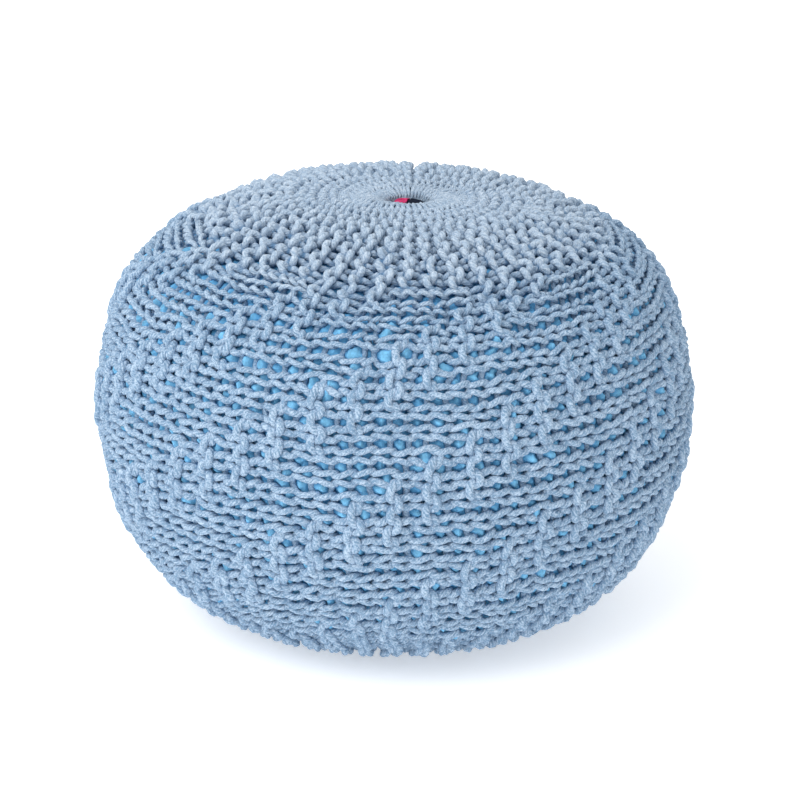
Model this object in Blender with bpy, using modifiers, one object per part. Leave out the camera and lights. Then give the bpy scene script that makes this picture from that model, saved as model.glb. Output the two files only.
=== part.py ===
"""Knitted pouf: a bag of thick cotton cord over a filled round cushion.

The cover is knitted sideways. Each course runs down the pouf, from the drawn-in opening on the
crown to the gathered underside, and each wale runs round it. Every second course carries purl
stitches, which stand up as ridges. They are unbroken on the crown and the underside. In between
they are broken into short bars, three wales tall, each one wale lower than the bar to its right.

Units are metres, +Z is up, the origin is at the middle of the base, and the front faces -Y.
"""

import math
from collections import namedtuple

import bmesh
import bpy
import numpy as np
from mathutils import Matrix, Vector

# Knit
COURSES = 96  # round the pouf; every second one is a ridge
COURSE_SPREAD = 0.04  # courses lie closer on the front than on the back, in radians
WALE = 0.0181  # width of one wale, measured down the side
PATTERN_WALES = 18  # wales of broken ridges
BAR = 3  # wales in a bar, and in the space after it
RIDGE_HEIGHT = 0.0055  # from the furrow to the top of a ridge, on the side
FULL_RIDGE_RADIUS = 0.150  # ridges are lower inside this radius, where the courses draw together
CROWN_ROWS = 4  # rows of points from the lip to the first pattern wale
UNDERSIDE_ROWS = 3  # rows of points from the last pattern wale to the flat base

# Cover and cushion
WALL = 0.0065  # thickness of the knit in its furrows
CUSHION_GAP = 0.0006  # between the cover and the cushion
INNER_STEPS = 48  # steps round the cushion and the inside of the cover
INNER_ROWS = 11  # rows of points down their sides
CROWN_DRAWN = 0.0105  # how far the opening is drawn to +X
DRAWN_RADIUS = 0.225  # the drawing ends at this radius
FLAT_RADIUS = 0.103  # the base is flat inside this radius

# Outer face of the cover over the tops of the ridges, from the opening's throat to the middle of
# the underside
Section = namedtuple("Section", "radius height")
THROAT = [
    Section(0.0162, 0.3400),
    Section(0.0175, 0.3485),
    Section(0.0270, 0.3538),
]
SIDE = [
    Section(0.0480, 0.3555),
    Section(0.1010, 0.3515),
    Section(0.1583, 0.3350),
    Section(0.2135, 0.2998),
    Section(0.2418, 0.2414),
    Section(0.2500, 0.1768),
    Section(0.2413, 0.1123),
    Section(0.2142, 0.0533),
    Section(0.1642, 0.0130),
    Section(FLAT_RADIUS, 0.0),
]
UNDERSIDE = [Section(0.0260, 0.0), Section(0.0110, 0.0030), Section(0.0, 0.0060)]

# Upper end of the hollow, from inside the throat to the crown of the cushion
NECK = [
    Section(0.0, 0.3450),
    Section(0.0140, 0.3450),
    Section(0.0140, 0.3335),
    Section(0.0240, 0.3345),
    Section(0.0380, 0.3415),
]
SEAT_RADIUS = 0.0138  # flat middle of the cushion's crown, below the opening
SEAT_HEIGHT = 0.3325

# Gaps in the knit, one at the upper corner of each bar
GAP_COURSE = 0.0056  # half width along a course
GAP_WALE = 0.0040  # half width along a wale
GAP_DEPTH = 0.040
GAP_BACK = 0.3  # how far the gap lies before its bar, in courses
GAP_DOWN = 0.1  # and below the bar's end, in wales

# Cloth that shows folded in the opening
CLOTH = 0.0012
CLOTH_REACH = 0.0130  # the cloths keep within this radius of the opening's middle
Fold = namedtuple("Fold", "name start end front top rise")  # start and end from the middle
FOLDS = [
    Fold("opening_fold_pink", -0.0120, -0.0006, 0.0045, 0.3469, 0.0004),
    Fold("opening_fold_dark", 0.0004, 0.0120, 0.0055, 0.3463, 0.0004),
]
BEND_SEGMENTS = 4

CORD_BLUE = (0.305, 0.434, 0.591, 1.0)
SKY_BLUE = (0.127, 0.456, 0.831, 1.0)
PINK = (0.610, 0.045, 0.156, 1.0)
NAVY = (0.010, 0.015, 0.030, 1.0)


def clear_scene():
    for obj in list(bpy.data.objects):
        bpy.data.objects.remove(obj, do_unlink=True)


def collection(name):
    made = bpy.data.collections.new(name)
    bpy.context.scene.collection.children.link(made)
    return made


def material(name, colour, roughness):
    made = bpy.data.materials.new(name)
    made.use_nodes = True
    made.diffuse_color = colour
    shader = made.node_tree.nodes["Principled BSDF"]
    shader.inputs["Base Color"].default_value = colour
    shader.inputs["Roughness"].default_value = roughness
    shader.inputs["Metallic"].default_value = 0.0
    return made


def add_object(name, bm, into, look=None, smooth=True):
    mesh = bpy.data.meshes.new(name)
    bm.to_mesh(mesh)
    bm.free()
    if look:
        mesh.materials.append(look)
    if smooth:
        mesh.shade_smooth()
    obj = bpy.data.objects.new(name, mesh)
    into.objects.link(obj)
    return obj


# Profiles


def smooth_path(sections, steps=24):
    """Points close together along a smooth curve through the sections."""
    points = np.array(sections)
    ends = np.vstack([2 * points[0] - points[1], points, 2 * points[-1] - points[-2]])
    spans = np.sqrt(np.linalg.norm(np.diff(ends, axis=0), axis=1))
    knots = np.concatenate([[0], np.cumsum(spans)])
    path = []
    for i in range(1, len(points)):
        a, b, c, d = ends[i - 1 : i + 3]
        ta, tb, tc, td = knots[i - 1 : i + 3]
        for t in np.linspace(tb, tc, steps, endpoint=i == len(points) - 1):
            ab = a + (b - a) * (t - ta) / (tb - ta)
            bc = b + (c - b) * (t - tb) / (tc - tb)
            cd = c + (d - c) * (t - tc) / (td - tc)
            abc = ab + (bc - ab) * (t - ta) / (tc - ta)
            bcd = bc + (cd - bc) * (t - tb) / (td - tb)
            path.append(abc + (bcd - abc) * (t - tb) / (tc - tb))
    path = np.array(path)
    path[:, 1] = np.maximum(path[:, 1], 0.0)
    return path


class Meridian:
    """The side of the cover, read by the distance down it."""

    def __init__(self, sections):
        self.path = smooth_path(sections)
        steps = np.linalg.norm(np.diff(self.path, axis=0), axis=1)
        self.distances = np.concatenate([[0], np.cumsum(steps)])
        self.length = self.distances[-1]
        self.widest = int(np.argmax(self.path[:, 0]))

    def at(self, distance):
        return np.array([np.interp(distance, self.distances, self.path[:, k]) for k in (0, 1)])

    def normal(self, distance):
        """Unit vector out of the cover, as (radius, height)."""
        along = self.at(distance + 0.002) - self.at(distance - 0.002)
        return np.array([-along[1], along[0]]) / np.linalg.norm(along)

    def crown_height(self, radius):
        upper = self.path[: self.widest + 1]
        return np.interp(radius, upper[:, 0], upper[:, 1])

    def distance_at(self, radius):
        """Distance to the place on the crown with this radius."""
        upper = slice(0, self.widest + 1)
        return np.interp(radius, self.path[upper, 0], self.distances[upper])


def drawn_aside(point, meridian):
    """Moves a point near the crown to +X, along the crown's own curve."""
    x, y, z = point
    radius = math.hypot(x, y)
    if radius >= DRAWN_RADIUS or z < meridian.path[meridian.widest][1]:
        return Vector(point)
    x += CROWN_DRAWN * (1 - (radius / DRAWN_RADIUS) ** 4)
    lift = meridian.crown_height(math.hypot(x, y)) - meridian.crown_height(radius)
    return Vector((x, y, z + lift))


def course_angle(column):
    turn = math.tau * column / COURSES
    return turn - COURSE_SPREAD * math.cos(turn)


# Knit rule


def is_purl(column, wale):
    """Whether the stitch stands up, counting wales down from the top of the pattern."""
    if column % 2:
        return False
    if not 0 <= wale < PATTERN_WALES:
        return True
    return (wale + column // 2 - BAR) % (2 * BAR) < BAR


def bar_starts(column):
    """Wales at which the bars of this course start."""
    if column % 2:
        return []
    return [
        wale
        for wale in range(PATTERN_WALES)
        if is_purl(column, wale) and (wale + column // 2 - BAR) % (2 * BAR) == 0
    ]


# Bodies


def spun(profile, steps, place):
    """A closed body: the profile turned about the axis, each point moved by place(row, column, point)."""
    bm = bmesh.new()
    row = bm.verts.layers.int.new("row")
    verts = []
    for number, (radius, height) in enumerate(profile):
        vert = bm.verts.new((radius, 0.0, height))
        vert[row] = number
        verts.append(vert)
    edges = [bm.edges.new(pair) for pair in zip(verts, verts[1:])]
    bmesh.ops.spin(
        bm,
        geom=verts + edges,
        cent=(0, 0, 0),
        axis=(0, 0, 1),
        angle=math.tau,
        steps=steps,
        use_merge=True,
    )
    bmesh.ops.remove_doubles(bm, verts=bm.verts[:], dist=1e-6)
    for vert in bm.verts:
        angle = math.atan2(vert.co.y, vert.co.x) % math.tau
        column = round(angle / math.tau * steps) % steps
        vert.co = place(vert[row], column, vert.co.copy())
    bmesh.ops.recalc_face_normals(bm, faces=bm.faces[:])
    bmesh.ops.triangulate(bm, faces=bm.faces[:], quad_method="BEAUTY")
    return bm


def turned_to(point, angle):
    radius = math.hypot(point.x, point.y)
    return Vector((radius * math.cos(angle), radius * math.sin(angle), point.z))


def cover_rows(side):
    """Rows of the outer face, as (section, normal, pattern wale)."""
    first = side.distance_at(0.675 * 0.25)
    last = first + PATTERN_WALES * WALE
    lip = side.distance_at(SIDE[0].radius)
    rows = [(section, None, None) for section in [(0.0, THROAT[0].height), *THROAT]]
    for distance in np.linspace(lip, first, CROWN_ROWS)[:-1]:
        rows.append((side.at(distance), side.normal(distance), -1))
    for wale in range(PATTERN_WALES + 1):
        distance = first + wale * WALE
        rows.append((side.at(distance), side.normal(distance), wale))
    for distance in np.linspace(last, side.length, UNDERSIDE_ROWS + 1)[1:]:
        rows.append((side.at(distance), side.normal(distance), PATTERN_WALES))
    rows += [(section, None, None) for section in UNDERSIDE]
    return rows


def relief(column, wale, radius, height):
    """How far a point lies below the tops of the ridges. It fades where the cover stands on its base."""
    if is_purl(column, wale) or is_purl(column, wale - 1):
        return 0.0
    return RIDGE_HEIGHT * min(1.0, radius / FULL_RIDGE_RADIUS) * min(1.0, height / 0.025)


def cover_outside(side):
    rows = cover_rows(side)

    def place(row, column, point):
        section, normal, wale = rows[row]
        if normal is not None:
            section = np.array(section) - normal * relief(column, wale, *section)
        angle = course_angle(column)
        moved = Vector((section[0] * math.cos(angle), section[0] * math.sin(angle), section[1]))
        return drawn_aside(moved, side)

    return spun([section for section, _, _ in rows], COURSES, place)


def inner_profile(side, inset):
    """The side of the cover, this far inside its outer face."""
    profile = []
    for distance in np.linspace(side.distance_at(0.052), side.length, INNER_ROWS):
        profile.append(side.at(distance) - side.normal(distance) * inset)
    profile[-1] = np.array([FLAT_RADIUS, inset])
    return profile + [np.array([0.0, inset])]


def inner_body(profile, side):
    """Turned body with the courses' own spacing, drawn aside with the crown."""

    def place(row, column, point):
        angle = course_angle(column * COURSES / INNER_STEPS)
        return drawn_aside(turned_to(point, angle), side)

    return spun(profile, INNER_STEPS, place)


def gap_cutters(side):
    """One four-sided pin through the knit at the upper corner of each bar."""
    first = side.distance_at(0.675 * 0.25)
    bm = bmesh.new()
    for column in range(COURSES):
        for start in bar_starts(column):
            distance = first + (start + GAP_DOWN) * WALE
            angle = course_angle(column - GAP_BACK)
            radius, height = side.at(distance)
            out, up = side.normal(distance)
            centre = drawn_aside((radius * math.cos(angle), radius * math.sin(angle), height), side)
            axis = Vector((out * math.cos(angle), out * math.sin(angle), up))
            round_it = Vector((-math.sin(angle), math.cos(angle), 0.0))
            frame = Matrix((round_it, axis.cross(round_it), axis)).transposed()
            size = Matrix.Diagonal((GAP_WALE, GAP_COURSE, 1.0))
            bmesh.ops.create_cone(
                bm,
                cap_ends=True,
                segments=4,
                radius1=1.0,
                radius2=1.0,
                depth=GAP_DEPTH,
                matrix=Matrix.Translation(centre) @ (frame @ size).to_4x4(),
            )
    bmesh.ops.recalc_face_normals(bm, faces=bm.faces[:])
    return bm


def subtract(obj, cutter, name):
    cut = obj.modifiers.new(name, "BOOLEAN")
    cut.operation = "DIFFERENCE"
    cut.solver = "EXACT"
    cut.object = cutter


def folded_cloth(fold):
    """A broad fold of cloth with both ends on the cushion, cut to the round of the opening."""
    foot = SEAT_HEIGHT + 0.0004
    bend = 0.0018
    line = [Vector((0.0, -1.0, foot)), Vector((0.0, -1.0, (foot + fold.top) / 2))]
    for k in range(BEND_SEGMENTS + 1):
        turn = math.pi / 2 * k / BEND_SEGMENTS
        rise = fold.top - bend + bend * math.sin(turn)
        line.append(Vector((0.0, -0.78 - 0.22 * math.cos(turn), rise)))
    line.append(Vector((0.0, 0.0, fold.top - 0.0003)))
    line += [Vector((0.0, -point.y, point.z)) for point in reversed(line[:-1])]
    bm = bmesh.new()
    verts = [bm.verts.new(point) for point in line]
    edges = [bm.edges.new(pair) for pair in zip(verts, verts[1:])]
    strips = 6
    for k in range(strips):
        grown = bmesh.ops.extrude_edge_only(bm, edges=edges)["geom"]
        moved = [item for item in grown if isinstance(item, bmesh.types.BMVert)]
        edges = [item for item in grown if isinstance(item, bmesh.types.BMEdge)]
        bmesh.ops.translate(bm, verts=moved, vec=((fold.end - fold.start) / strips, 0, 0))
    for vert in bm.verts:
        x, across, z = vert.co
        x += fold.start
        back = math.sqrt(CLOTH_REACH**2 - x**2)
        front = -min(fold.front, back)
        y = (back + front) / 2 + across * (back - front) / 2
        z += fold.rise * across * (z - foot) / (fold.top - foot)
        vert.co = Vector((CROWN_DRAWN + x, y, z))
    bmesh.ops.recalc_face_normals(bm, faces=bm.faces[:])
    return bm


def main():
    clear_scene()
    parts = collection("Knitted pouf")
    cutters = collection("Cutters")
    side = Meridian(SIDE)

    cord = material("Cotton cord", CORD_BLUE, 0.95)
    cover = add_object("knitted_cover", cover_outside(side), parts, cord)
    neck = [np.array(section) for section in NECK]
    hollow = add_object(
        "cover_hollow", inner_body(neck + inner_profile(side, WALL + RIDGE_HEIGHT), side), cutters
    )
    gaps = add_object("knit_gaps", gap_cutters(side), cutters, smooth=False)
    for cutter in (hollow, gaps):
        cutter.hide_render = True
        cutter.display_type = "WIRE"
    subtract(cover, hollow, "Hollow")
    subtract(cover, gaps, "Gaps")

    seat = [
        np.array([0.0, SEAT_HEIGHT]),
        np.array([SEAT_RADIUS, SEAT_HEIGHT]),
        np.array([0.0240, 0.3345 - CUSHION_GAP]),
        np.array([0.0380, 0.3415 - CUSHION_GAP]),
    ]
    casing = material("Cushion cloth", SKY_BLUE, 0.8)
    profile = seat + inner_profile(side, WALL + RIDGE_HEIGHT + CUSHION_GAP)
    add_object("inner_cushion", inner_body(profile, side), parts, casing)

    for fold, colour in zip(FOLDS, (PINK, NAVY)):
        cloth = material(fold.name.replace("_", " ").capitalize(), colour, 0.85)
        obj = add_object(fold.name, folded_cloth(fold), parts, cloth)
        shell = obj.modifiers.new("Cloth", "SOLIDIFY")
        shell.thickness = CLOTH
        shell.offset = 0.0


if __name__ == "__main__":
    main()
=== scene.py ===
"""Knitted pouf, dressed for the picture.

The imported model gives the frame. Over it this script knits the cover stitch by stitch in cotton
cord, presses the cushion's cloth out through the knit, folds the two cloths in the opening, and
sets the floor, the lights and the camera.
"""

import math
from collections import namedtuple

import bmesh
import bpy
import numpy as np
from bpy.props import FloatProperty, FloatVectorProperty, PointerProperty
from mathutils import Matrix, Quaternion, Vector


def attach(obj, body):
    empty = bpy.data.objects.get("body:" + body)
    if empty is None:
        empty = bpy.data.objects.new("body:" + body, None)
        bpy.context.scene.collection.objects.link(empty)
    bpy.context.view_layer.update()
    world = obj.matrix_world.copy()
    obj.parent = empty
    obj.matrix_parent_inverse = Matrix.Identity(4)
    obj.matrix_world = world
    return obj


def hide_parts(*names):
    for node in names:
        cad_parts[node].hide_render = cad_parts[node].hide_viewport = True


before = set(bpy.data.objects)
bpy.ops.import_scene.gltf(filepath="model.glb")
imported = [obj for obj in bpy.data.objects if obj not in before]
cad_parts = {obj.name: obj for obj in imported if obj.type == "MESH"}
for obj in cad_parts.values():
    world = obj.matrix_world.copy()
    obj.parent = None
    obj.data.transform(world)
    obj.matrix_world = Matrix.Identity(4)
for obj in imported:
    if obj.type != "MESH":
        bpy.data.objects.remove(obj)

bl_info = {
    "name": "Knitted Pouf",
    "version": (1, 0, 0),
    "blender": (4, 5, 0),
    "location": "3D Viewport > Sidebar > Pouf",
    "description": "Knits a pouf cover in cotton cord over its cushion",
    "category": "Object",
}

# Knit
RADIUS = 0.25  # of the pouf, at its widest
COURSES = 96  # round the pouf; every second one carries purl stitches
COURSE_SPREAD = 0.04  # courses lie closer on the front than on the back, in radians
WALE = 0.0181  # width of one wale, measured down the side
CROWN_WALES = 9
PATTERN_WALES = 18  # wales of broken ridges
UNDERSIDE_WALES = 12
WALES = CROWN_WALES + PATTERN_WALES + UNDERSIDE_WALES
BAR = 3  # wales in a bar, and in the space after it
PATTERN_RADIUS = 0.675  # where the pattern starts on the crown, as a share of the radius
POINTS = 16  # along one stitch
RINGS = 540  # along one course
HIDDEN_SHARE = 0.4  # share of them kept where the cord is hidden
CORD_SIDES = 8
PLIES = 5  # twisted together in the cord
LAY = 0.017  # length of cord in which a ply turns once round it
STRIPS = 12  # pieces that the cover is divided into round the pouf
PURL_SLANT = 1.35  # purl loops lean this many times as far
CROWN_SLANT = 0.56  # and this many times on the crown
SPREAD = 0.102  # how far the two arms of a stitch stand apart, as a share of the wale
CROWN_SPREAD = 0.045  # the same on the crown
RELIEF = 0.0040  # from the bottom of a furrow to the top of a ridge
CROWN_RELIEF = -0.1  # this share more on the crown
PLAIN_SHARE = 0.45  # height of plain knitting, as a share of the ridges'
SETTLING = 12  # rounds of pushing the cord apart
CLOSENESS = 0.92  # they are pushed towards this share of their thickness apart
DEEPEST = 0.0165  # the cord's centre line lies no deeper than this
GAP_BACK = 0.42  # how far a gap lies before and behind its bar, in courses
GAP_DOWN = 0.1  # and below the bar's end, in wales
GAP_REACH = 0.009  # the cord is drawn away within about this distance of a gap
GAP_CORE = 0.003  # and less so within this distance of its middle
CROWN_EDGE = 0.235  # the crown's stitches start inside this radius
CROWN_BLEND = 0.06  # and are full this much further in
SEED = 7

# How a stitch is laid, as shares of a course or of a wale
SWING = 0.20  # how far a loop reaches into its neighbours
PURL_SWING = 0.05  # and how much further a purl loop does
CROWN_SWING = 0.18  # and how much further than that on the crown
LEAN_NOISE = 0.15
SWING_NOISE = 0.05
SIDE_NOISE = 0.055
CROWN_THINNING = 0.30
RIDGE_GROWTH = 0.25  # cord on a ridge is this much thicker
CROWN_GROWTH = 0.05  # and this much more on the crown

# How unevenly the knit lies, in metres
Drift = namedtuple("Drift", "size waves longest shortest")
LONG_DRIFT = Drift(0.0010, 14, 0.12, 0.05)
SHORT_DRIFT = Drift(0.0005, 14, 0.045, 0.02)
SHORT_SHIFT = Drift(0.0006, 14, 0.045, 0.02)
SWAY = Drift(0.0006, 12, 0.09, 0.03)

# How the cord settles in each round
PUSH = 0.25  # share of an overlap that is undone
LONGEST_PUSH = 0.0008
KEPT = 0.60  # share of a push that a point keeps
SHARED = 0.38  # share that it takes over from its two neighbours

# The largest gaps on the front: distance below the pattern's top, angle in degrees, and how far
# each one opens against an ordinary gap
Gap = namedtuple("Gap", "down angle share")
LARGE_GAPS = [
    Gap(0.086, -101.9, 2.5),
    Gap(0.086, -105.7, 2.1),
    Gap(0.128, -66.9, 2.0),
    Gap(0.147, -84.3, 2.0),
    Gap(0.165, -91.3, 2.0),
    Gap(0.066, -91.9, 1.9),
    Gap(0.065, -98.5, 1.9),
    Gap(0.107, -109.1, 1.9),
    Gap(0.106, -66.7, 1.8),
    Gap(0.127, -78.3, 1.8),
    Gap(0.220, -113.3, 1.7),
    Gap(0.040, -92.3, 1.7),
    Gap(0.076, -79.9, 1.6),
    Gap(0.183, -98.5, 1.6),
    Gap(0.043, -84.5, 1.6),
    Gap(0.146, -122.7, 1.6),
    Gap(0.054, -68.7, 1.5),
    Gap(0.160, -133.7, 1.5),
    Gap(0.119, -103.7, 1.5),
    Gap(0.202, -106.1, 1.5),
    Gap(0.067, -129.5, 1.5),
]
OPEN_PLACE = (0.100, -98.0)  # middle of the place where the knit is stretched most open
OPEN_REACH = 0.095  # size of that place
OPEN_SHARE = 0.15  # plain cord is this much thinner there
SNAP = 0.009  # a large gap this near to a bar's end is the gap of that bar

CROWN_DRAWN = 0.0105  # how far the opening is drawn to +X
DRAWN_RADIUS = 0.225  # the drawing ends at this radius
DRAWN_BLEND = 0.02  # it fades in over this height above the widest place
LIP_RISE = 0.0028  # the front of the opening's lip stands this much higher
LIP_RADIUS = 0.028
LIP_REACH = 0.012

# Outer face of the cover over the tops of the ridges, from the opening's throat to the gather
# under the base
Section = namedtuple("Section", "radius height")
THROAT = [
    Section(0.0162, 0.3400),
    Section(0.0175, 0.3485),
    Section(0.0270, 0.3538),
]
SIDE = [
    Section(0.0480, 0.3555),
    Section(0.1010, 0.3515),
    Section(0.1583, 0.3350),
    Section(0.2135, 0.2998),
    Section(0.2418, 0.2414),
    Section(0.2500, 0.1768),
    Section(0.2413, 0.1123),
    Section(0.2142, 0.0533),
    Section(0.1642, 0.0130),
    Section(0.1030, 0.0),
]
GATHER = [Section(0.0260, 0.0), Section(0.0120, 0.0020), Section(0.0070, 0.0070)]

# Cord, by distance from the axis
Girth = namedtuple("Girth", "radius share")  # share of the cord's full half thickness
GIRTHS = [
    Girth(0.007, 0.36),
    Girth(0.016, 0.38),
    Girth(0.050, 0.86),
    Girth(0.090, 1.10),
    Girth(0.150, 1.10),
    Girth(0.200, 1.0),
    Girth(0.250, 1.0),
]

# Cushion cloth
CLOTH_STEPS = 480
CLOTH_ROWS = (12, 104, 14)  # on the crown, behind the pattern and on the underside
HIGHEST_CLOTH = 0.0052  # the cloth swells no further than this below the face
CLOTH_GRID = 0.0018  # cell of the grid on which the cloth is pressed into the knit
CORD_REACH = 0.0037  # how far from its centre line the cord is felt on the grid
SKIN_ROUNDS = 110  # rounds of swelling
SKIN_LIFT = 0.09  # share of the swell in each round
CLOTH_BASE = 0.0118  # the cloth lies flat at this height over the base
CLOTH_SHADE_DEPTH = 0.006  # the cloth's painted shade is fullest this far below its highest place

# Cloths in the opening
CLOTH_REACH = 0.0130  # the cloths keep within this radius of the opening's middle
Fold = namedtuple("Fold", "name start end front top rise phase")  # start and end from the middle
PINK_FOLD = Fold("pink_cloth", -0.0122, -0.0004, 0.0045, 0.3471, 0.0005, 0.6)
DARK_FOLD = Fold("dark_cloth", 0.0004, 0.0122, 0.0055, 0.3465, 0.0004, 2.1)
SEAT_HEIGHT = 0.3325
CREASE = 0.0005  # height of the creases in the cloths
BEND = 0.0018  # radius of the fold at the top
EDGE = 0.78  # where the bend starts, as a share of the way out from the middle
FOLD_STRIPS = 20
FOLD_CLOTH = 0.0010
END_DIP = 0.0012  # the cloths sink this far at their outer ends
BACK_DIP = 0.0014  # and at the back
BOUNDARY_SLANT = 0.0024  # the edge between the cloths runs this far to the right at the back

# View
TARGET = Vector((0.0, 0.0, 0.1768))
DISTANCE = 2.5085
ELEVATION = 20.3155
ROLL = -0.576
PICTURE = 800
FOCAL = 3000.0  # focal length, in pixels of the picture
CENTRE = (394.1, 396.5)
SENSOR = 36.0

# Settings


def colour_property(name, description, default):
    return FloatVectorProperty(
        name=name,
        description=description,
        default=default,
        size=3,
        min=0.0,
        max=1.0,
        subtype="COLOR",
    )


class KnitSettings(bpy.types.PropertyGroup):
    """Sizes and colours of the knitted cover"""

    thickness: FloatProperty(
        name="Cord thickness",
        description="Diameter of the cotton cord on the side of the pouf",
        default=0.0054, min=0.004, max=0.007, precision=4, unit="LENGTH",
    )
    slant: FloatProperty(
        name="Slant",
        description="How far the arms of a stitch lean, as a share of the wale",
        default=0.205, min=0.1, max=0.26, subtype="FACTOR",
    )
    unevenness: FloatProperty(
        name="Unevenness",
        description="How unevenly the stitches lie, from 0 for machine made to 1 for hand made",
        default=1.0, min=0.0, max=1.5, subtype="FACTOR",
    )
    gap: FloatProperty(
        name="Gap",
        description="How far the cord is drawn away from the gap at the corner of each bar",
        default=0.0028, min=0.0, max=0.004, precision=4, unit="LENGTH",
    )
    light_colour: colour_property(
        "Light yarn", "Colour of the lighter strands of the cord", (0.50, 0.63, 0.775)
    )
    shade_colour: colour_property(
        "Dark yarn", "Colour of the darker strands of the cord", (0.18, 0.30, 0.45)
    )
    # Painted light: the lighter strands on the crown are given this colour where the light falls on
    # them.
    painted_crown_light_colour: colour_property(
        "Painted light on crown",
        "Colour of the lighter strands on the crown, where the light falls on them",
        (0.60, 0.695, 0.80),
    )
    # Painted shade: cord lying at the back of the knit is darkened towards this colour.
    painted_shade_colour: colour_property(
        "Painted shade on cord", "Colour of the cord that lies at the back of the knit", (0.08, 0.19, 0.35)
    )


class CushionSettings(bpy.types.PropertyGroup):
    """Fullness and colour of the inner cushion"""

    swell: FloatProperty(
        name="Swell",
        description="How far the cloth swells out between the cords",
        default=0.0140, min=0.0, max=0.025, precision=4, unit="LENGTH",
    )
    colour: colour_property(
        "Cloth", "Colour of the cushion's cloth", (0.24, 0.64, 1.0)
    )
    # Painted shade: cloth close under the cords is darkened towards this colour.
    painted_shade_colour: colour_property(
        "Painted shade on cloth", "Colour of the cloth close under the cords", (0.045, 0.30, 0.66)
    )


class OpeningSettings(bpy.types.PropertyGroup):
    """Colours of the cloths folded in the opening"""

    pink: colour_property(
        "Pink cloth", "Colour of the cloth on the left of the opening", (0.62, 0.045, 0.16)
    )
    dark: colour_property(
        "Dark cloth", "Colour of the cloth on the right of the opening", (0.008, 0.013, 0.03)
    )


class StageSettings(bpy.types.PropertyGroup):
    """Floor and lights"""

    floor: colour_property(
        "Floor", "Colour of the floor", (0.985, 0.985, 0.985)
    )
    key: FloatProperty(
        name="Key light",
        description="Power of the large light at the upper left",
        default=75.0, min=0.0, max=400.0, unit="POWER",
    )
    fill: FloatProperty(
        name="Fill light",
        description="Power of the light at the right",
        default=3.0, min=0.0, max=400.0, unit="POWER",
    )
    surround: FloatProperty(
        name="Surround",
        description="Brightness of the white surround",
        default=0.75, min=0.0, max=2.0,
    )


# Shaders


class Value:
    """A socket of a shader tree. Sums and products of values add Math nodes."""

    def __init__(self, finish, socket):
        self.finish = finish
        self.socket = socket

    def maths(self, operation, *inputs):
        return self.finish.node("ShaderNodeMath", {"operation": operation}, dict(enumerate(inputs)))

    def __add__(self, other):
        return self.maths("ADD", self, other)

    def __radd__(self, other):
        return self.maths("ADD", other, self)

    def __sub__(self, other):
        return self.maths("SUBTRACT", self, other)

    def __rsub__(self, other):
        return self.maths("SUBTRACT", other, self)

    def __mul__(self, other):
        return self.maths("MULTIPLY", self, other)

    def __rmul__(self, other):
        return self.maths("MULTIPLY", other, self)

    def wave(self):
        return self.maths("SINE", self)

    def size(self):
        return self.maths("ABSOLUTE", self)

    def between(self, low, high):
        """0 below low and 1 above high."""
        return self.finish.node(
            "ShaderNodeMapRange",
            {"interpolation_type": "SMOOTHSTEP"},
            {"Value": self, "From Min": low, "From Max": high},
        )


class Finish:
    """A material with a Principled shader, and the nodes that feed it."""

    def __init__(self, name, roughness, **constants):
        self.material = bpy.data.materials.new(name)
        self.material.use_nodes = True
        self.tree = self.material.node_tree
        self.shader = self.tree.nodes["Principled BSDF"]
        self.shader.inputs["Roughness"].default_value = roughness
        for socket, value in constants.items():
            self.shader.inputs[socket.replace("_", " ")].default_value = value

    def feed(self, socket, value):
        if isinstance(value, Value):
            self.tree.links.new(value.socket, socket)
        elif isinstance(value, (int, float)):
            socket.default_value = value
        else:
            value = tuple(value)
            wanted = len(socket.default_value)
            socket.default_value = value if len(value) == wanted else (*value, 1.0)

    def node(self, kind, settings=None, inputs=None, output=0):
        made = self.tree.nodes.new(kind)
        for name, value in (settings or {}).items():
            setattr(made, name, value)
        for name, value in (inputs or {}).items():
            self.feed(made.inputs[name], value)
        return Value(self, made.outputs[output])

    def mix(self, share, low, high):
        return self.node("ShaderNodeMix", {"data_type": "RGBA"}, {0: share, 6: low, 7: high}, 2)

    def noise(self, where, scale, detail=2.0, roughness=0.5):
        return self.node(
            "ShaderNodeTexNoise",
            None,
            {"Vector": where, "Scale": scale, "Detail": detail, "Roughness": roughness},
        )

    def place(self):
        return self.node("ShaderNodeTexCoord", None, None, "Object")

    def depth(self):
        """How deep the point lies in the knit, from 0 at the front to 1 at the back; it sets the
        painted shade.
        """
        return self.node("ShaderNodeAttribute", {"attribute_name": "depth"}, None, "Fac")

    def axes(self, vector):
        split = self.tree.nodes.new("ShaderNodeSeparateXYZ")
        self.feed(split.inputs[0], vector)
        return [Value(self, split.outputs[k]) for k in range(3)]

    def bump(self, height, distance, strength=1.0):
        made = self.node(
            "ShaderNodeBump", None, {"Height": height, "Distance": distance, "Strength": strength}
        )
        self.feed(self.shader.inputs["Normal"], made)

    def colour(self, value):
        self.feed(self.shader.inputs["Base Color"], value)


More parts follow.
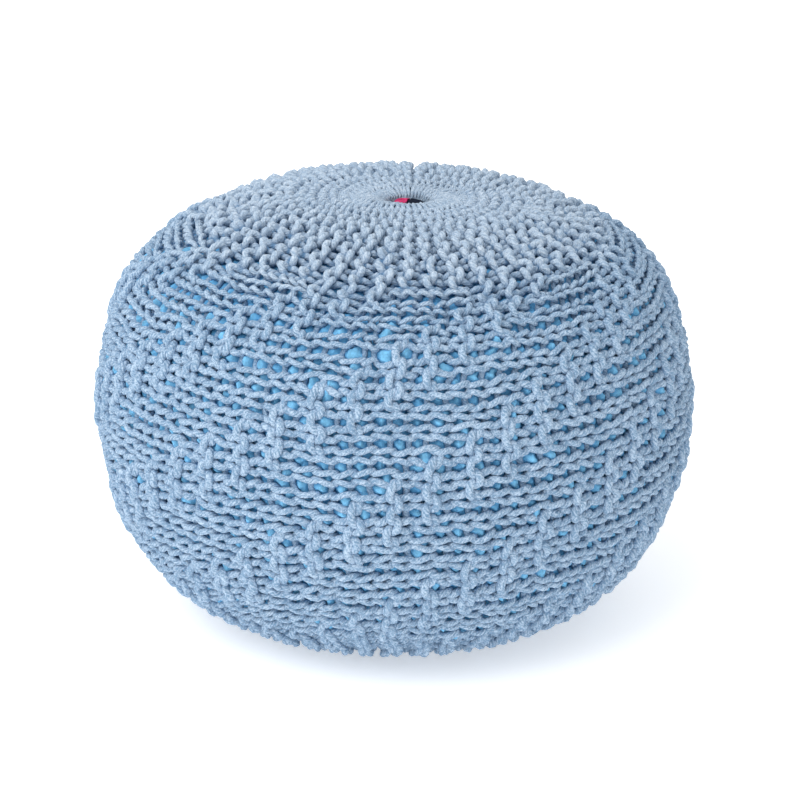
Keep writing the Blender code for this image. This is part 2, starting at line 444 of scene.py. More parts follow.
def cord_finish(settings):
    """Soft cotton cord of twisted plies, with fibres along them, flecked light and dark, with
    painted shade in the ply grooves and on cord at the back of the knit, and painted light on the
    crown.
    """
    finish = Finish("Cotton cord", 0.95, Specular_IOR_Level=0.2)
    run = finish.node("ShaderNodeUVMap", {"uv_map": "UVMap"})
    along, around, _ = finish.axes(run)
    plies = around * PLIES + along * (PLIES / LAY)
    ply = (plies * math.pi).wave().size()
    body = finish.place()
    fleck = finish.noise(body, 620.0, 2.0, 0.7)
    patch = finish.noise(body, 60.0)
    drawn_out = finish.node(
        "ShaderNodeCombineXYZ", None, {0: plies * 3.2, 1: along * 170.0, 2: patch * 6.0}
    )
    fibre = finish.noise(drawn_out, 1.0, 3.0, 0.6)
    speck = finish.noise(body, 1100.0, 1.0, 0.5).between(0.60, 0.74)
    # The ply term makes the grooves between the plies darker: painted shade. Flecks, fibres, specks
    # and patches are the yarn's own mottled colour.
    tone = fleck + fibre * 0.8 + ply * 0.10 + patch * 0.25 - speck * 0.25
    # Painted light: the top of the pouf, the crown, is given lighter, less contrasty strands where
    # the light falls on it.
    crown = finish.axes(body)[2].between(0.308, 0.336)
    share = tone.between(0.90, 1.34)
    share = share + (1.0 - share) * crown * 0.35
    light = finish.mix(crown * 0.9, settings.light_colour, settings.painted_crown_light_colour)
    strands = finish.mix(share, settings.shade_colour, light)
    # Painted shade: cord lying back in the knit is darkened by its depth, more so on the crown.
    painted_shade = finish.depth().between(0.42, 0.95) * (crown * 0.70 + 0.20)
    finish.colour(finish.mix(painted_shade, strands, settings.painted_shade_colour))
    finish.bump(ply * 0.65 + fibre * 0.7 + fleck * 0.8 - speck * 0.5, 0.0005)
    return finish.material


def cushion_finish(settings):
    """Plain woven cotton in sky blue, with its fine weave and faint creases, with painted shade in
    the creases and close under the cords.
    """
    finish = Finish("Cushion cloth", 0.8, Specular_IOR_Level=0.25)
    body = finish.place()
    x, y, z = finish.axes(body)
    thread = 0.0011
    weft = (z * (math.tau / thread)).wave()
    warp = ((x + y * 0.83) * (math.tau / thread)).wave()
    crease = finish.noise(body, 190.0, 3.0, 0.6)
    # Painted shade: the cloth is darkened in the crease valleys of the bump; the weave adds a
    # little of its own pattern.
    painted_crease_shade = (crease * 0.8 + warp * weft * 0.06).between(0.25, 0.60)
    low = [0.62 * c for c in settings.colour]
    cloth = finish.mix(painted_crease_shade, low, settings.colour)
    # Painted shade: the cloth lying deep under the cords is darkened.
    painted_shade = finish.depth().between(0.15, 1.0) * 0.45
    finish.colour(finish.mix(painted_shade, cloth, settings.painted_shade_colour))
    finish.bump(warp * weft * 0.12 + crease * 2.6, 0.0012, 0.9)
    return finish.material


def folded_finish(name, colour, painted_crease_shade):
    """Fine cotton cloth seen at its fold, with painted shade in its crease valleys."""
    finish = Finish(name, 0.9, Specular_IOR_Level=0.1)
    body = finish.place()
    x, y, z = finish.axes(body)
    thread = 0.0007
    weave = ((x + y) * (math.tau / thread)).wave() * (z * (math.tau / thread)).wave()
    crease = finish.noise(body, 320.0)
    # Painted shade: the cloth is darkened in the crease valleys of the bump.
    share = (crease + weave * 0.1).between(0.3, 0.65)
    finish.colour(finish.mix(share, [painted_crease_shade * c for c in colour], colour))
    finish.bump(weave * 0.1 + crease, 0.0006, 0.5)
    return finish.material


def floor_finish(settings):
    """Pale matt floor, lit a little from below."""
    finish = Finish("Floor", 0.9, Specular_IOR_Level=0.1, Emission_Strength=0.42)
    mottle = finish.noise(finish.place(), 1.2)
    low = [0.985 * c for c in settings.floor]
    finish.colour(finish.mix(mottle.between(0.3, 0.7), low, settings.floor))
    return finish.material


# The cover's form


def with_ends(points):
    """The points with one more at each end, straight on."""
    return np.vstack([2 * points[0] - points[1], points, 2 * points[-1] - points[-2]])


def smooth_path(sections, steps):
    """Points close together along a smooth curve through the sections."""
    points = np.array(sections)
    ends = with_ends(points)
    spans = np.sqrt(np.linalg.norm(np.diff(ends, axis=0), axis=1))
    knots = np.concatenate([[0], np.cumsum(spans)])
    path = []
    for i in range(1, len(points)):
        a, b, c, d = ends[i - 1 : i + 3]
        ta, tb, tc, td = knots[i - 1 : i + 3]
        for t in np.linspace(tb, tc, steps, endpoint=i == len(points) - 1):
            ab = a + (b - a) * (t - ta) / (tb - ta)
            bc = b + (c - b) * (t - tb) / (tc - tb)
            cd = c + (d - c) * (t - tc) / (td - tc)
            abc = ab + (bc - ab) * (t - ta) / (tc - ta)
            bcd = bc + (cd - bc) * (t - tb) / (td - tb)
            path.append(abc + (bcd - abc) * (t - tb) / (tc - tb))
    return np.array(path)


def through(points, steps):
    """Points close together along a smooth curve through evenly spaced points."""
    ends = with_ends(points)[:, None, :]
    a, b, c, d = ends[:-3], ends[1:-2], ends[2:-1], ends[3:]
    u = (np.arange(steps) / steps)[None, :, None]
    cubic = b + 0.5 * u * (
        c - a + u * (2 * a - 5 * b + 4 * c - d + u * (3 * (b - c) + d - a))
    )
    return np.vstack([cubic.reshape(-1, points.shape[1]), points[-1:]])


class Form:
    """The outer face of the cover, read by the distance down it from the throat."""

    def __init__(self):
        steps = 40
        self.path = smooth_path(THROAT + SIDE + GATHER, steps)
        lengths = np.linalg.norm(np.diff(self.path, axis=0), axis=1)
        self.down = np.concatenate([[0], np.cumsum(lengths)])
        self.length = self.down[-1]
        along = np.gradient(self.path, self.down, axis=0)
        window = np.ones(9) / 9
        along = np.stack(
            [np.convolve(np.pad(along[:, k], 4, mode="edge"), window, "valid") for k in (0, 1)], 1
        )
        along /= np.linalg.norm(along, axis=1)[:, None]
        self.normals = np.stack([-along[:, 1], along[:, 0]], 1)
        self.lip = len(THROAT) * steps
        self.widest = int(np.argmax(self.path[:, 0]))
        upper = slice(self.lip, self.widest)
        self.first = np.interp(PATTERN_RADIUS * RADIUS, self.path[upper, 0], self.down[upper])
        self.last = self.first + PATTERN_WALES * WALE
        self.lip_down = self.down[self.lip]
        self.base_down = self.last + 0.5 * (self.length - self.last)

    def radius(self, distance):
        return np.interp(distance, self.down, self.path[:, 0])

    def crown_height(self, radius):
        upper = self.path[self.lip : self.widest + 1]
        return np.interp(radius, upper[:, 0], upper[:, 1])

    def put(self, distance, angle, out):
        """Points at these distances and angles, this far out of the face."""
        radius, height = (
            np.interp(distance, self.down, self.path[:, k])
            + out * np.interp(distance, self.down, self.normals[:, k])
            for k in (0, 1)
        )
        x, y = radius * np.cos(angle), radius * np.sin(angle)
        upper = np.clip((height - self.path[self.widest, 1]) / DRAWN_BLEND, 0, 1)
        share = np.minimum(radius, DRAWN_RADIUS) / DRAWN_RADIUS
        moved = x + CROWN_DRAWN * (1 - share**4) * upper
        lift = (self.crown_height(np.hypot(moved, y)) - self.crown_height(radius)) * upper
        front = np.clip(-y / np.maximum(radius, 0.001), 0, 1)
        lip = LIP_RISE * front * bell(radius - LIP_RADIUS, LIP_REACH) * upper
        return np.stack([moved, y, height + lift + lip], -1)


def course_angle(column):
    turn = math.tau * column / COURSES
    return turn - COURSE_SPREAD * np.cos(turn)


def is_purl(column, wale):
    """Whether the stitch stands up, counting wales down from the top of the pattern."""
    if column % 2:
        return False
    if not 0 <= wale < PATTERN_WALES:
        return True
    return (wale + column // 2 - BAR) % (2 * BAR) < BAR


# Knitting


def drift(rng, kind, distance, angle):
    """A smooth uneven field over the cover, about 1 in size."""
    total = np.zeros(np.broadcast(distance, angle).shape)
    for _ in range(kind.waves):
        wave = rng.uniform(kind.shortest, kind.longest)
        heading = rng.uniform(0, math.tau)
        turns = round(math.tau * RADIUS / wave * math.cos(heading))
        down = math.tau / wave * math.sin(heading)
        total += np.sin(turns * angle + down * distance + rng.uniform(0, math.tau))
    return total / math.sqrt(kind.waves / 2)


def bell(distance, reach):
    return np.exp(-((distance / reach) ** 2))


def crown_share(radius):
    """1 on the crown, and 0 outside its edge."""
    return np.clip((CROWN_EDGE - radius) / CROWN_BLEND, 0, 1)


def turned(angle, other):
    """The turn from one angle to another, the short way round."""
    return (angle - other + math.pi) % math.tau - math.pi


# Where an arm that goes from a purl loop to a plain one crosses from layer to layer
CROSSED_ARM = (np.radians([0, 44, 66, 90]), [0.0, 0.5, 1.0, 1.5])
CROWN_ARM = (np.radians([0, 36, 60, 90]), [0.0, 0.5, 1.0, 1.5])


class Knit:
    """Every point of the cord's centre line, as distance down, angle and depth, by course."""

    def __init__(self, form, settings):
        self.form = form
        self.rng = np.random.default_rng(SEED)
        self.edges = np.concatenate(
            [
                np.linspace(0.0, form.first, CROWN_WALES + 1)[:-1],
                form.first + WALE * np.arange(PATTERN_WALES),
                np.linspace(form.last, form.length, UNDERSIDE_WALES + 1),
            ]
        )
        wales = range(-CROWN_WALES, WALES - CROWN_WALES)
        self.purl = np.array(
            [[is_purl(column, wale) for wale in wales] for column in range(COURSES)]
        )
        self.stitches(settings)
        self.loosen(settings)
        self.open_gaps(settings)
        self.settle()

    def stitches(self, settings):
        """The loops as shares: distance down, columns round and layer of each point."""
        rng, uneven = self.rng, settings.unevenness
        shape = (COURSES, WALES, 1)
        width = np.diff(self.edges)[None, :, None]
        start = self.edges[:-1][None, :, None]
        t = (math.tau * np.arange(POINTS) / POINTS)[None, None, :]
        radius = self.form.radius(start + width / 2)
        near = np.clip((radius - 0.030) / 0.060, 0, 1)  # stitches close up near the opening
        lower = np.where(self.purl, -1.0, 1.0)[:, :, None]
        upper = np.roll(lower, 1, axis=0)
        lean = settings.slant * (1 + LEAN_NOISE * uneven * rng.normal(size=shape)) * near
        crown = crown_share(radius)
        purl_slant = PURL_SLANT + (CROWN_SLANT - PURL_SLANT) * crown
        lean = lean * np.where(np.where(np.cos(t) > 0, lower, upper) < 0, purl_slant, 1.0)
        spread = (SPREAD + (CROWN_SPREAD - SPREAD) * crown) * near
        down = start + width * (t / math.tau + lean * np.sin(2 * t) - spread * np.sin(t))
        same = lower == upper
        folded = np.minimum(t, math.tau - t)

        def rise(turn):
            """The layer along a quarter of the loop, from its foot to the middle of its arm."""
            crossed = np.interp(turn, *CROSSED_ARM)
            early = np.interp(turn, *CROWN_ARM)
            crossed = crossed + (early - crossed) * crown
            return np.where(same, -np.cos(2 * turn), -np.cos(math.pi * crossed))

        layer = np.where(
            folded < math.pi / 2, lower * rise(folded), upper * rise(math.pi - folded)
        )
        # On the crown the plain halves of the purl loops lie back.
        plain_end = np.where(np.cos(t) > 0, lower, upper) > 0
        back = crown * plain_end * ~same * np.clip(np.abs(np.cos(t)) / 0.34, 0, 1)
        layer = layer * (1 - 0.7 * back) - 0.7 * back
        before = np.concatenate([lower[:, :1], lower[:, :-1]], axis=1)
        after = np.concatenate([lower[:, 1:], lower[:, -1:]], axis=1)
        for turn, beside in ((t, before), (math.tau - t, after)):
            foot = np.clip(1 - turn / (math.pi / 4), 0, 1)
            layer = layer * (1 - foot) - foot * (lower + beside) / 2
        layer = np.sign(layer) * np.abs(layer) ** 0.9
        # Purl loops swing wider than plain ones, most of all on the crown.
        further = PURL_SWING + CROWN_SWING * crown
        wide = SWING + further * (1 - np.stack([lower, upper])) / 2
        share = (1 + np.cos(t)) / 2
        swing = 0.5 + wide[0] * share + wide[1] * (1 - share)
        swing = swing * (1 + SWING_NOISE * uneven * rng.normal(size=shape))
        side = -np.cos(t) * swing + SIDE_NOISE * uneven * rng.normal(size=shape)
        full = (COURSES, WALES, POINTS)

        def flat(values):
            return np.broadcast_to(values, full).reshape(COURSES, -1).copy()

        self.down, self.side, self.layer, self.near = map(flat, (down, side, layer, near))
        self.ridge(flat(t / math.tau))

    def ridge(self, share):
        """How far each point belongs to a purl ridge, and to plain knitting."""
        wale = np.repeat(np.arange(WALES), POINTS)[None, :]
        across = np.arange(COURSES)[:, None] - 0.5 - self.side
        column = 2 * np.round(across / 2)
        off = np.abs(across - column)
        column = column.astype(int) % COURSES
        beside = np.where(share < 0.5, wale - 1, wale + 1).clip(0, WALES - 1)
        mixed = 0.5 * (1 - np.clip(np.minimum(share, 1 - share) / 0.2, 0, 1))
        raised = self.purl[column, wale] * (1 - mixed) + self.purl[column, beside] * mixed
        self.raised = raised * (0.5 + 0.5 * np.cos(math.pi * np.clip((off - 0.4) / 0.6, 0, 1)))
        self.plain = 1 - raised

    def loosen(self, settings):
        """Turns the shares into sizes and lets the stitches lie unevenly."""
        rng, uneven, form = self.rng, settings.unevenness, self.form
        radius = form.radius(self.down)
        column = np.arange(COURSES)[:, None] - 0.5
        turn = math.tau * column / COURSES
        pitch = math.tau * radius / COURSES * (1 + COURSE_SPREAD * np.sin(turn))
        girths = np.array(GIRTHS)
        half = settings.thickness / 2 * np.interp(radius, girths[:, 0], girths[:, 1])
        crown = crown_share(radius)
        thicker = RIDGE_GROWTH + CROWN_GROWTH * crown
        self.half = half * (1 - CROWN_THINNING * crown + thicker * self.raised)
        self.half = np.minimum(self.half, np.maximum(pitch * (0.75 + 0.35 * self.raised), 0.0008))
        # How far back each point lies in the knit; the cord's colour is darkened by it, as painted
        # shade.
        self.depth = np.clip(0.5 - 0.5 * self.layer, 0, 1) * self.near
        place = math.radians(OPEN_PLACE[1])
        aside = turned(turn, place) * radius
        stretched = bell(np.hypot(self.down - form.first - OPEN_PLACE[0], aside), OPEN_REACH)
        self.half = self.half * (1 - OPEN_SHARE * stretched * (1 - self.raised))
        angle = course_angle(column) - self.side * pitch / radius
        room = np.clip(radius / 0.2, 0, 1) * uneven
        for kind in (LONG_DRIFT, SHORT_DRIFT):
            self.down = self.down + kind.size * room * drift(rng, kind, self.down, angle)
        more = 1 + crown  # the courses wander twice as far on the crown
        shift = LONG_DRIFT.size * more * room * drift(rng, LONG_DRIFT, self.down, angle)
        shift = shift + SHORT_SHIFT.size * room * drift(rng, SHORT_SHIFT, self.down, angle)
        self.angle = angle + shift / radius
        sway = SWAY.size * room * drift(rng, SWAY, self.down, angle)
        depth = self.layer * (0.35 + 0.65 * self.near)
        furrow = RELIEF * np.clip(radius / 0.10, 0.35, 1) * (1 + CROWN_RELIEF * crown)
        low = furrow * (1 - self.raised - PLAIN_SHARE * self.plain)
        out = (depth - 1) * (1.10 + 0.45 * crown) * half - self.half - low + sway
        phase = rng.uniform(0, math.tau, (COURSES, 1))
        ripple = np.sin(self.down / 0.0065 + phase) * 0.0005 * (1 - self.near)
        self.out = np.clip(out + ripple, -DEEPEST, -self.half)
        self.down = np.clip(self.down, 0.0, form.length)

    def gap_places(self):
        """Middles of the gaps on both sides of each bar's upper end, with their share."""
        places = []
        for column in range(0, COURSES, 2):
            for wale in range(PATTERN_WALES):
                if (wale + column // 2 - BAR) % (2 * BAR) == 0:
                    down = self.form.first + (wale + GAP_DOWN) * WALE
                    left, right = self.rng.uniform((0.4, 0.2), (1.7, 1.4))
                    places.append((down, course_angle(column - GAP_BACK), left))
                    places.append((down + 0.001, course_angle(column + GAP_BACK), right))
        for gap in LARGE_GAPS:
            place = (self.form.first + gap.down, math.radians(gap.angle), gap.share)
            nearest = min(places, key=lambda other: self.between(place, other))
            if self.between(place, nearest) < SNAP:
                places.remove(nearest)
                place = (nearest[0], nearest[1], gap.share)
            places.append(place)
        return places

    def between(self, place, other):
        """Distance over the cover between two places, each a distance down and an angle."""
        radius = float(self.form.radius(place[0]))
        return math.hypot(other[0] - place[0], turned(other[1], place[1]) * radius)

    def open_gaps(self, settings):
        """Draws the cord away from the gaps at each bar's upper end."""
        radius = self.form.radius(self.down)
        move_down, move_angle = np.zeros_like(self.down), np.zeros_like(self.down)
        for down, angle, share in self.gap_places():
            dx, dy = self.down - down, turned(self.angle, angle) * radius
            gap = np.hypot(dx, dy) + 1e-6
            push = share * settings.gap * bell(gap, GAP_REACH) * np.clip(gap / GAP_CORE, 0, 1)
            move_down += push * dx / gap
            move_angle += push * dy / gap / radius
        self.down = self.down + move_down
        self.angle = self.angle + move_angle

    def settle(self):
        """Pushes the cord apart where it would lie in itself, and keeps the pushes smooth."""
        radius = self.form.radius(self.down)
        firm = np.clip((radius - 0.045) / 0.06, 0, 1)
        rest = np.stack([self.down, self.angle, self.out])
        moved = np.zeros_like(rest)
        scale = np.stack([np.ones_like(radius), radius, np.ones_like(radius)])
        for _ in range(SETTLING):
            push = np.zeros_like(rest)
            place = rest + moved / scale
            for step in (0, 1):
                other = np.roll(place, -step, axis=1)
                other_half = np.roll(self.half, -step, axis=0)
                for k in range(3 if step == 0 else -POINTS, POINTS + 1):
                    length = self.down.shape[1] - abs(k)
                    here = slice(max(0, -k), max(0, -k) + length)
                    there = slice(max(0, k), max(0, k) + length)
                    gap = place[:, :, here] - other[:, :, there]
                    gap[1] = ((gap[1] + math.pi) % math.tau - math.pi) * radius[:, here]
                    far = np.sqrt((gap**2).sum(0)) + 1e-6
                    room = CLOSENESS * (self.half[:, here] + other_half[:, there])
                    share = np.clip(room - far, 0, None) / far * PUSH * firm[:, here]
                    shift = gap * share
                    push[:, :, here] += shift
                    back = np.zeros_like(rest)
                    back[:, :, there] = shift
                    push -= np.roll(back, step, axis=1)
            moved = moved + np.clip(push, -LONGEST_PUSH, LONGEST_PUSH)
            near = (np.roll(moved, 1, axis=2) + np.roll(moved, -1, axis=2)) / 2
            moved = KEPT * moved + SHARED * near
        place = rest + moved / scale
        self.down = np.clip(place[0], 0.0, self.form.length)
        self.angle = place[1]
        self.out = np.minimum(place[2], -0.8 * self.half)

    def line(self, course):
        """The centre line of one course, the cord's half thickness along it, and its depth.

        Rings stand closer where the cord bends, and further apart where it is hidden.
        """
        points = self.form.put(self.down[course], self.angle[course], self.out[course])
        down, half, depth = self.down[course], self.half[course], self.depth[course]
        points[1:-1] = 0.2 * points[:-2] + 0.6 * points[1:-1] + 0.2 * points[2:]
        fine = through(np.column_stack([points, half, down, depth]), 6)
        step = np.linalg.norm(np.diff(fine[:, :3], axis=0), axis=1) + 1e-9
        heading = np.diff(fine[:, :3], axis=0) / step[:, None]
        bend = np.linalg.norm(np.diff(heading, axis=0), axis=1)
        bend = np.convolve(np.pad(bend, (3, 4), mode="edge"), np.ones(7) / 7, "valid")
        shown = (fine[1:, 4] > self.form.lip_down) & (fine[1:, 4] < self.form.base_down)
        cost = (step / 0.005 + np.minimum(bend, 1.0)) * np.where(shown, 1.0, HIDDEN_SHARE)
        run = np.concatenate([[0], np.cumsum(cost)])
        wanted = np.linspace(0, run[-1], RINGS)
        rings = np.stack([np.interp(wanted, run, fine[:, k]) for k in (0, 1, 2, 3, 5)], 1)
        points, half = rings[:, :3], rings[:, 3]
        points[:, 2] = np.maximum(points[:, 2], half + 0.0002)
        return points, half, rings[:, 4]


def join_mesh(name, mesh, finish, smooth=True):
    mesh.name = name
    mesh.materials.clear()
    mesh.materials.append(finish)
    if smooth:
        mesh.shade_smooth()
    obj = bpy.data.objects.new(name, mesh)
    bpy.context.scene.collection.objects.link(obj)
    return obj


def join_bmesh(name, bm, finish, smooth=True):
    mesh = bpy.data.meshes.new(name)
    bm.to_mesh(mesh)
    bm.free()
    return join_mesh(name, mesh, finish, smooth)


def line_of(bm, points):
    """The points joined by edges, as vertices and edges."""
    verts = [bm.verts.new(point) for point in points]
    return verts, [bm.edges.new(pair) for pair in zip(verts, verts[1:])]


def cord_mesh(lines):
    """The cord along these lines, as one closed mesh."""
    curve = bpy.data.curves.new("cord_line", "CURVE")
    curve.dimensions = "3D"
    curve.bevel_depth = 1.0
    curve.bevel_resolution = CORD_SIDES // 4
    curve.use_fill_caps = True
    curve.resolution_u = 1
    for points, half, _ in lines:
        spline = curve.splines.new("POLY")
        spline.points.add(len(points) - 1)
        places = np.column_stack([points, np.ones(len(points))]).astype(np.float32)
        spline.points.foreach_set("co", places.ravel())
        spline.points.foreach_set("radius", half.astype(np.float32))
        spline.use_smooth = True
    holder = bpy.data.objects.new("cord_line", curve)
    bpy.context.scene.collection.objects.link(holder)
    graph = bpy.context.evaluated_depsgraph_get()
    mesh = bpy.data.meshes.new_from_object(holder.evaluated_get(graph))
    bpy.data.objects.remove(holder)
    bpy.data.curves.remove(curve)
    measure_cord(mesh, lines)
    bm = bmesh.new()
    bm.from_mesh(mesh)
    bmesh.ops.remove_doubles(bm, verts=bm.verts[:], dist=1e-7)
    bmesh.ops.recalc_face_normals(bm, faces=bm.faces[:])
    bm.to_mesh(mesh)
    bm.free()
    return mesh


def measure_cord(mesh, lines):
    """Writes the UV map in metres along the cord and turns round it, and the depth in the knit,
    which sets the painted shade.

    The end caps come first in the mesh.
    """
    runs = [np.linalg.norm(np.diff(points, axis=0), axis=1) for points, _, _ in lines]
    lengths = np.array([np.concatenate([[0.0], np.cumsum(run)]) for run in runs])
    layer = mesh.uv_layers["UVMap"].data
    uv = np.zeros(2 * len(layer), np.float32)
    layer.foreach_get("uv", uv)
    uv = uv.reshape(-1, 2)
    corner = np.zeros(len(mesh.loops), np.int32)
    mesh.loops.foreach_get("vertex_index", corner)
    ring = (corner - 2 * CORD_SIDES * len(lines)) // CORD_SIDES
    wall = ring >= 0
    uv[wall, 0] = lengths.ravel()[ring[wall]]
    layer.foreach_set("uv", uv.ravel())
    depth = np.zeros(len(mesh.vertices), np.float32)
    depth[2 * CORD_SIDES * len(lines) :] = np.repeat([painted_shade for _, _, painted_shade in lines], CORD_SIDES)
    mesh.attributes.new("depth", "FLOAT", "POINT").data.foreach_set("value", depth)


# Operators


class POUF_OT_knitted_cover(bpy.types.Operator):
    """Knit the cover in cotton cord, in strips round the pouf"""

    bl_idname = "pouf.knitted_cover"
    bl_label = "Knitted Cover"

    def execute(self, context):
        settings = context.scene.pouf_knit
        form = Form()
        knit = Knit(form, settings)
        lines = [knit.line(course) for course in range(COURSES)]
        finish = cord_finish(settings)
        share = COURSES // STRIPS
        for strip in range(STRIPS):
            mesh = cord_mesh(lines[strip * share : (strip + 1) * share])
            piece = join_mesh(f"cover_strip_{strip + 1:02d}", mesh, finish)
            if len(piece.data.polygons) < 1000:
                raise RuntimeError(f"{piece.name} came out empty")
            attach(piece, "root")
            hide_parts("knitted_cover")
        return {"FINISHED"}


class POUF_OT_cushion(bpy.types.Operator):
    """Make the cushion's cloth, pressed out through the knit"""

    bl_idname = "pouf.cushion"
    bl_label = "Inner Cushion"

    def execute(self, context):
        settings = context.scene.pouf_cushion
        form = Form()
        knit = Knit(form, context.scene.pouf_knit)
        swell = Swell(form, knit, settings.swell)
        starts = form.down[form.lip + 8]
        ends = form.last + 0.4 * (form.length - form.last)
        upper, lower = form.first - 0.02, form.last + 0.02
        crown, middle, under = CLOTH_ROWS
        rows = np.concatenate(
            [
                np.linspace(starts, upper, crown, endpoint=False),
                np.linspace(upper, lower, middle, endpoint=False),
                np.linspace(lower, ends, under),
            ]
        )
        bm = bmesh.new()
        row = bm.verts.layers.int.new("row")
        # The depth layer sets how much painted shade the cloth gets.
        depth = bm.verts.layers.float.new("depth")
        profile = [(0.0, SEAT_HEIGHT), (0.012, SEAT_HEIGHT), (0.030, 0.3375)]
        profile += [(form.radius(down), 0.1) for down in rows]
        profile += [(0.103, 0.0126), (0.0, 0.0126)]
        verts, edges = line_of(bm, [(radius, 0.0, height) for radius, height in profile])
        for number, vert in enumerate(verts):
            vert[row] = number - 3
        bmesh.ops.spin(
            bm,
            geom=verts + edges,
            cent=(0, 0, 0),
            axis=(0, 0, 1),
            angle=math.tau,
            steps=CLOTH_STEPS,
            use_merge=True,
        )
        bmesh.ops.remove_doubles(bm, verts=bm.verts[:], dist=1e-6)
        moving = [vert for vert in bm.verts if 0 <= vert[row] < len(rows)]
        down = rows[[vert[row] for vert in moving]]
        angle = np.array([math.atan2(vert.co.y, vert.co.x) for vert in moving])
        out = swell.at(down, angle)
        # Painted shade: the further the cloth lies below its highest place, the darker it is made.
        painted_shade = np.clip((-out - HIGHEST_CLOTH) / CLOTH_SHADE_DEPTH, 0, 1)
        for vert, point, share in zip(moving, form.put(down, angle, out), painted_shade):
            vert.co = point
            vert.co.z = max(vert.co.z, CLOTH_BASE)
            vert[depth] = share
        for vert in bm.verts:
            if vert[row] < 0:
                vert.co.x += CROWN_DRAWN
        bmesh.ops.recalc_face_normals(bm, faces=bm.faces[:])
        piece = join_bmesh("cushion", bm, cushion_finish(settings))
        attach(piece, "root")
        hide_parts("inner_cushion")
        return {"FINISHED"}


class Swell:
    """How far the cloth lies below the face, where it is pressed out between the cords."""

    def __init__(self, form, knit, swell):
        down_cells = int(form.length / CLOTH_GRID)
        round_cells = int(math.tau * RADIUS / CLOTH_GRID)
        self.cells = (down_cells, round_cells)
        ceiling = np.full(self.cells, -HIGHEST_CLOTH)
        radius = form.radius(knit.down)
        low = knit.out - knit.half
        reach = 2
        for i in range(-reach, reach + 1):
            for j in range(-reach, reach + 1):
                off = math.hypot(i, j) * CLOTH_GRID
                if off > CORD_REACH:
                    continue
                drop = np.where(off < knit.half, np.sqrt(np.maximum(knit.half**2 - off**2, 0)), 0)
                rows = np.clip((knit.down / CLOTH_GRID).astype(int) + i, 0, down_cells - 1)
                turn = knit.angle % math.tau / math.tau * round_cells
                step = j * RADIUS / np.maximum(radius, 0.05)
                columns = (turn + step).astype(int) % round_cells
                bottom = knit.out - np.maximum(drop, 0.0004) - 0.0003
                np.minimum.at(ceiling, (rows.ravel(), columns.ravel()), bottom.ravel())
        # The cloth is a skin that swells until the cords hold it.
        lowest = float(low.min()) - 0.0005
        rows = form.radius((np.arange(down_cells) + 0.5) * CLOTH_GRID)
        upper = np.arange(down_cells) * CLOTH_GRID < form.last / 2
        crown = crown_share(rows) * upper
        lift = (swell * SKIN_LIFT * (1 - 0.8 * crown))[:, None]
        skin = np.full(self.cells, lowest)
        for _ in range(SKIN_ROUNDS):
            around = (
                np.roll(skin, 1, 1)
                + np.roll(skin, -1, 1)
                + np.vstack([skin[:1], skin[:-1]])
                + np.vstack([skin[1:], skin[-1:]])
            ) / 4
            skin = np.minimum(around + lift, ceiling)
        self.skin = skin

    def at(self, down, angle):
        rows = np.clip(down / CLOTH_GRID - 0.5, 0, self.cells[0] - 1.001)
        columns = (angle % math.tau) / math.tau * self.cells[1] - 0.5
        i, j = np.floor(rows).astype(int), np.floor(columns).astype(int)
        u, v = rows - i, columns - j
        j0, j1 = j % self.cells[1], (j + 1) % self.cells[1]
        upper = self.skin[i, j0] * (1 - v) + self.skin[i, j1] * v
        lower = self.skin[i + 1, j0] * (1 - v) + self.skin[i + 1, j1] * v
        return upper * (1 - u) + lower * u


def folded_cloth(fold, finish, node):
    """A broad fold of cloth in the opening, both ends on the cushion, with soft creases on top."""
    foot = SEAT_HEIGHT + 0.0006
    line = [Vector((0.0, -1.0, foot + (fold.top - BEND - foot) * k / 3)) for k in range(3)]
    for k in range(5):
        turn = math.pi / 2 * k / 4
        rise = fold.top - BEND + BEND * math.sin(turn)
        line.append(Vector((0.0, -EDGE - (1 - EDGE) * math.cos(turn), rise)))
    line += [Vector((0.0, -EDGE + 0.13 * k, fold.top)) for k in range(1, 6)]
    line.append(Vector((0.0, 0.0, fold.top)))
    line += [Vector((0.0, -point.y, point.z)) for point in reversed(line[:-1])]
    bm = bmesh.new()
    _, edges = line_of(bm, line)
    width = fold.end - fold.start
    for _ in range(FOLD_STRIPS):
        grown = bmesh.ops.extrude_edge_only(bm, edges=edges)["geom"]
        moved = [item for item in grown if isinstance(item, bmesh.types.BMVert)]
        edges = [item for item in grown if isinstance(item, bmesh.types.BMEdge)]
        bmesh.ops.translate(bm, verts=moved, vec=(width / FOLD_STRIPS, 0, 0))
    for vert in bm.verts:
        x, across, z = vert.co
        x += fold.start
        back = math.sqrt(CLOTH_REACH**2 - x**2)
        inner = 1 - min(abs(x) / 0.009, 1)
        front = -min(fold.front, back)
        y = (back + front) / 2 + across * (back - front) / 2
        rise = max(z - foot, 0.0) / (fold.top - foot)
        z += fold.rise * across * rise
        z -= rise * (END_DIP * (abs(x) / DARK_FOLD.end) ** 3 + BACK_DIP * max(across, 0.0) ** 2)
        slope = across * 5.2 + x / 0.0042 + fold.phase
        z += CREASE * rise**4 * (math.sin(slope) + 0.5 * math.sin(1.9 * slope + x / 0.003) - 1.2)
        y += 0.0003 * rise * math.sin(x / 0.0016 + fold.phase)
        x += inner * rise * (BOUNDARY_SLANT * across - 0.0008)
        vert.co = Vector((CROWN_DRAWN + x, y, z))
    bmesh.ops.recalc_face_normals(bm, faces=bm.faces[:])
    area = sum(face.calc_area() for face in bm.faces)
    piece = join_bmesh(fold.name, bm, finish)
    shell = piece.modifiers.new("Cloth", "SOLIDIFY")
    shell.thickness = FOLD_CLOTH
    shell.offset = 0.0
    smooth = piece.modifiers.new("Soft", "SUBSURF")
    smooth.levels = smooth.render_levels = 1
    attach(piece, "root")
    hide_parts(node)
    area / width


